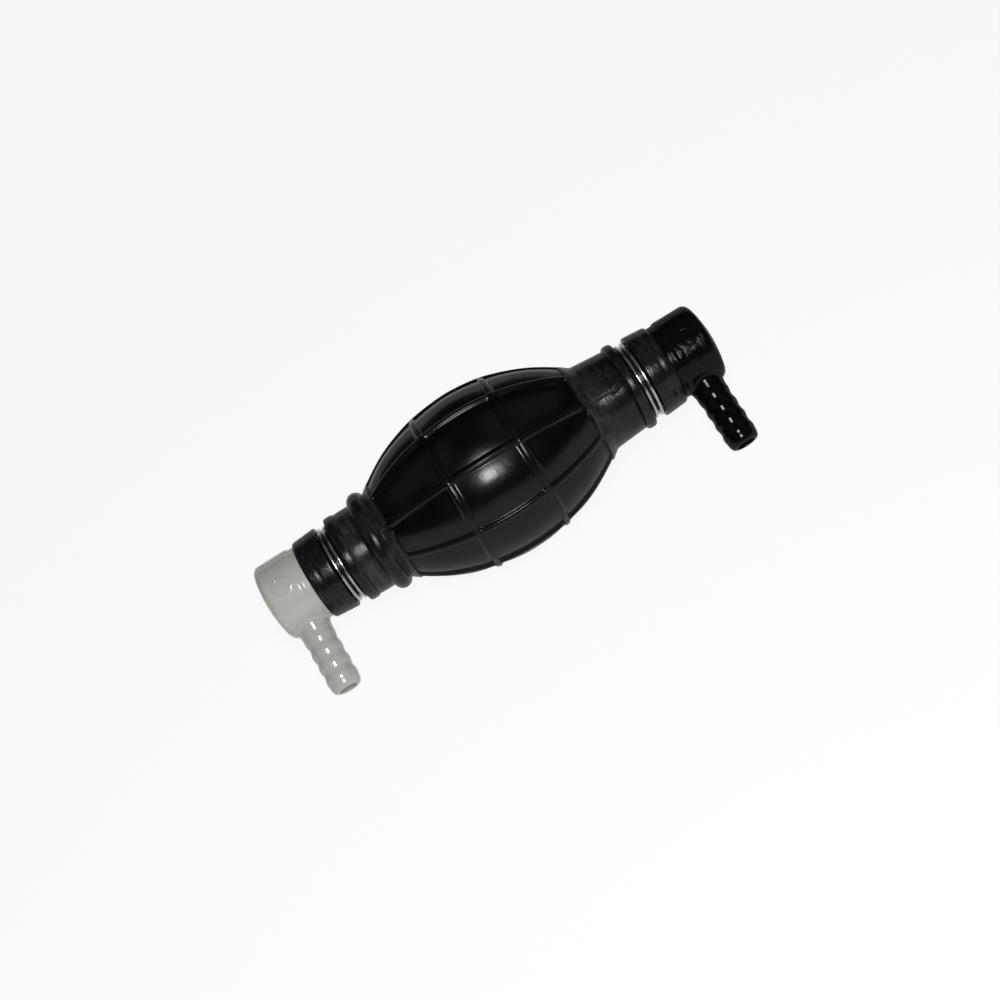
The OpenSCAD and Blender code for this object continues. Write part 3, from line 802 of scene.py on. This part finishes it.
def rubber():
    n = Nodes("moulded_rubber")
    n.coat(0.5, 0.42, 0.215)
    along = n.coordinate("X")
    neck = n.spread(n.math("ABSOLUTE", along), *NECK_FADE, 0, 1)
    foot = n.between(along, FOOT_SHEEN_SPAN)
    band = n.between(along, BAND_SHEEN_SPAN)
    grain = n.noise(2600, 4, 0.62)
    cloud = n.noise(95, 4, 0.6)
    specks = n.noise(900, 3, 0.7)
    bloom = n.math("MULTIPLY", n.spread(cloud, 0.42, 0.72, 0, 1), n.spread(specks, 0.4, 0.75, 0.2, 1))
    base = n.mix(bloom, (0.0012, 0.0013, 0.0016), (0.0032, 0.0034, 0.0044))
    streaks = n.noise(700, 5, 0.7, (1, 0.25, 0.25))
    wear_and_sheen_mask = n.math("MULTIPLY", n.spread(streaks, 0.4, 0.7, 0, 1), n.spread(cloud, 0.35, 0.65, 0.3, 1))
    # Necks: wear streaks, with the base also painted lighter as a painted sheen
    wear_and_sheen_colour = n.mix(wear_and_sheen_mask, (0.003, 0.0031, 0.0036), (0.0135, 0.0138, 0.0152))
    # Painted sheen: the inlet's foot and raised band are painted lighter still, standing in for a broad
    # highlight
    painted_sheen_colour = n.mix(wear_and_sheen_mask, (0.009, 0.0092, 0.0103), (0.031, 0.0315, 0.034))
    wear_and_sheen_colour = n.mix(n.math("MAXIMUM", foot, band), wear_and_sheen_colour, painted_sheen_colour)
    n.link(n.mix(neck, base, wear_and_sheen_colour), n.shader.inputs["Base Color"])
    patches = n.noise(420, 5, 0.6)
    fine = n.bump(grain, 0.00005, 0.25)
    waves = n.bump(patches, 0.0002, 0.25, fine)
    n.skin(n.bump(n.math("MULTIPLY", streaks, neck), 0.0003, 0.5, waves))
    return n.material


def grey_plastic():
    n = Nodes("moulded_grey_plastic")
    cloud = n.noise(60, 3, 0.5)
    fine = n.noise(1500, 3, 0.6)
    tone = n.math("ADD", n.spread(cloud, 0.35, 0.65, 0, 0.8), n.spread(fine, 0.35, 0.65, 0, 0.2))
    n.link(n.mix(tone, (0.335, 0.335, 0.31), (0.37, 0.37, 0.345)), n.shader.inputs["Base Color"])
    n.link(n.spread(cloud, 0.3, 0.7, 0.12, 0.18), n.shader.inputs["Roughness"])
    wave = n.bump(n.noise(300, 2, 0.5), 0.0002, 0.2)
    n.link(n.bump(fine, 0.00004, 0.25, wave), n.shader.inputs["Normal"])
    return n.material


def black_plastic():
    n = Nodes("moulded_black_plastic")
    n.coat(0.4, 0.24, 0.12)
    cloud = n.noise(80, 3, 0.5)
    fine = n.noise(1400, 3, 0.6)
    n.link(n.mix(cloud, (0.0012, 0.0012, 0.0014), (0.0028, 0.0028, 0.0032)), n.shader.inputs["Base Color"])
    barrel = n.spread(n.coordinate("Y"), *BARREL_FADE, 0.05, 1)
    wave = n.bump(n.math("MULTIPLY", n.noise(560, 4, 0.65), barrel), 0.0003, 0.6)
    n.skin(n.bump(fine, 0.00003, 0.2, wave))
    return n.material


def zinc_wire():
    n = Nodes("zinc_plated_wire")
    n.shader.inputs["Metallic"].default_value = 1.0
    patina = n.noise(320, 4, 0.65)
    drawn = n.noise(2000, 2, 0.5)
    n.link(n.mix(patina, (0.22, 0.26, 0.24), (0.46, 0.48, 0.45)), n.shader.inputs["Base Color"])
    n.link(n.spread(patina, 0.3, 0.7, 0.16, 0.26), n.shader.inputs["Roughness"])
    n.link(n.bump(drawn, 0.000006, 0.3), n.shader.inputs["Normal"])
    return n.material


def plain(name, dark, light, rough_low, rough_high, metallic=0.0):
    """A finish for the pieces inside the necks: mottled colour, uneven gloss and a fine grain."""
    n = Nodes(name)
    n.shader.inputs["Metallic"].default_value = metallic
    cloud = n.noise(300, 3, 0.6)
    n.link(n.mix(cloud, dark, light), n.shader.inputs["Base Color"])
    n.link(n.spread(cloud, 0.3, 0.7, rough_low, rough_high), n.shader.inputs["Roughness"])
    n.link(n.bump(n.noise(3000, 2, 0.5), 0.00002, 0.3), n.shader.inputs["Normal"])
    return n.material


# ---------------------------------------------------------------- pieces
RUBBER = rubber()
ZINC = zinc_wire()
VALVE_PLASTIC = plain("acetal", (0.6, 0.59, 0.53), (0.7, 0.69, 0.63), 0.35, 0.45)
SEAL_RUBBER = plain("nitrile_rubber", (0.012, 0.012, 0.012), (0.02, 0.02, 0.02), 0.5, 0.62)
SPRING_STEEL = plain("spring_steel", (0.5, 0.51, 0.53), (0.64, 0.65, 0.67), 0.22, 0.32, 1.0)


def add_piece(piece, material, body, slot, *nodes):
    piece.data.materials.append(material)
    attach(piece, body)
    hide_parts(*nodes)


add_piece(make_bulb(), RUBBER, "bulb_body", "bulb_rubber", "bulb")
grey, black = make_elbows()
add_piece(grey, grey_plastic(), "inlet_elbow_body", "grey_plastic", "inlet_elbow")
add_piece(black, black_plastic(), "outlet_elbow_body", "black_plastic", "outlet_elbow")
add_piece(make_clip(-1, "inlet_wire_clip"), ZINC, "bulb_body", "zinc_wire", "inlet_clip")
add_piece(make_clip(1, "outlet_wire_clip"), ZINC, "bulb_body", "zinc_wire", "outlet_clip")

for end in ("inlet", "outlet"):
    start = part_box(f"{end}_spring")[0].x / MM - SET_FIT
    coil = make_spring(f"{end}_valve_spring", start)
    add_piece(coil, SPRING_STEEL, f"{end}_elbow_body", "spring_steel", f"{end}_spring")
    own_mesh(coil)

INNER = {"valve_body": VALVE_PLASTIC, "poppet": VALVE_PLASTIC, "spring_retainer": VALVE_PLASTIC}
INNER |= {"valve_o_ring": SEAL_RUBBER, "poppet_seal": SEAL_RUBBER}
for end in ("inlet", "outlet"):
    for part, material in INNER.items():
        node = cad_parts[f"{end}_{part}"]
        node.data.materials.clear()
        node.data.materials.append(material)
        node.data.shade_smooth()


# ---------------------------------------------------------------- stage, light and camera
# Half of the floor's width, and the place that the lamps point to, in metres
FLOOR_HALF = 3.0
LAMP_AIM = (0, 0, 0.028)
# The camera's angles are in degrees, its distance in metres and its lens in millimetres
CAMERA_ELEVATION = 38.05
CAMERA_ROLL = 31.65
CAMERA_DISTANCE = 0.53
CAMERA_LENS = 59.2
# How far the camera points to the right of the pump's middle and below it, in metres
CAMERA_RIGHT = 0.00333
CAMERA_DOWN = 0.0089


def make_floor():
    """A white floor. Camera, glossy and transmission rays see it a little brighter than it is lit."""
    corners = [(FLOOR_HALF * x, FLOOR_HALF * y, 0) for x, y in ((-1, -1), (1, -1), (1, 1), (-1, 1))]
    mesh = bpy.data.meshes.new("floor")
    mesh.from_pydata(corners, [], [(0, 1, 2, 3)])
    floor = bpy.data.objects.new("floor", mesh)
    bpy.context.scene.collection.objects.link(floor)
    n = Nodes("pale_floor")
    n.shader.inputs["Roughness"].default_value = 0.9
    n.shader.inputs["Specular IOR Level"].default_value = 0.0
    n.link(n.mix(n.noise(3, 2), (0.88, 0.88, 0.88), (0.9, 0.9, 0.9)), n.shader.inputs["Base Color"])
    path = n.add("ShaderNodeLightPath")
    seen = n.math("MAXIMUM", path.outputs["Is Camera Ray"], path.outputs["Is Glossy Ray"])
    seen = n.math("MAXIMUM", seen, path.outputs["Is Transmission Ray"])
    glow = n.add("ShaderNodeEmission")
    blend = n.add("ShaderNodeMixShader")
    n.link(n.math("MULTIPLY", seen, 0.9), blend.inputs["Fac"])
    n.link(n.shader.outputs["BSDF"], blend.inputs[1])
    n.link(glow.outputs["Emission"], blend.inputs[2])
    n.link(blend.outputs["Shader"], n.tree.nodes["Material Output"].inputs["Surface"])
    floor.data.materials.append(n.material)


def add_lamp(name, toward, distance, width, height, power):
    """A rectangular softbox that faces the object from the given direction."""
    data = bpy.data.lights.new(name, "AREA")
    data.shape = "RECTANGLE"
    data.size = width
    data.size_y = height
    data.energy = power
    lamp = bpy.data.objects.new(name, data)
    direction = np.array(toward, float)
    direction /= np.linalg.norm(direction)
    lamp.location = Vector(np.array(LAMP_AIM) + direction * distance)
    lamp.rotation_euler = Vector(direction).to_track_quat("Z", "Y").to_euler()
    bpy.context.scene.collection.objects.link(lamp)


def make_camera():
    elevation = math.radians(CAMERA_ELEVATION)
    roll = math.radians(CAMERA_ROLL)
    data = bpy.data.cameras.new("camera")
    data.sensor_width = 36
    data.lens = CAMERA_LENS
    camera = bpy.data.objects.new("camera", data)
    bpy.context.scene.collection.objects.link(camera)
    bpy.context.scene.camera = camera
    back = np.array([0, -math.cos(elevation), math.sin(elevation)])
    level = np.array([1.0, 0, 0])
    upward = np.array([0, math.sin(elevation), math.cos(elevation)])
    right = math.cos(roll) * level - math.sin(roll) * upward
    up = math.sin(roll) * level + math.cos(roll) * upward
    aim = np.array([0, AXIS_Y, AXIS_Z]) * MM + right * CAMERA_RIGHT - up * CAMERA_DOWN
    matrix = Matrix.Identity(4)
    for row in range(3):
        for column, axis in enumerate((right, up, back)):
            matrix[row][column] = axis[row]
        matrix[row][3] = aim[row] + back[row] * CAMERA_DISTANCE
    camera.matrix_world = matrix


make_floor()
add_lamp("key_softbox", (0.018, -0.74, 0.672), distance=0.62, width=0.13, height=0.17, power=3.7)
for name, side in (("left_softbox", -1), ("right_softbox", 1)):
    add_lamp(name, (side * 0.6, 0.05, 0.79), distance=0.95, width=0.8, height=0.8, power=0.4)
add_lamp("back_softbox", (0, 0.97, 0.242), distance=0.9, width=1.5, height=0.28, power=1.0)
world = bpy.data.worlds.new("studio")
world.use_nodes = True
world.node_tree.nodes["Background"].inputs["Color"].default_value = (0.035, 0.036, 0.04, 1)
world.node_tree.nodes["Background"].inputs["Strength"].default_value = 1.0
bpy.context.scene.world = world
make_camera()
bpy.context.scene.view_settings.view_transform = "Standard"
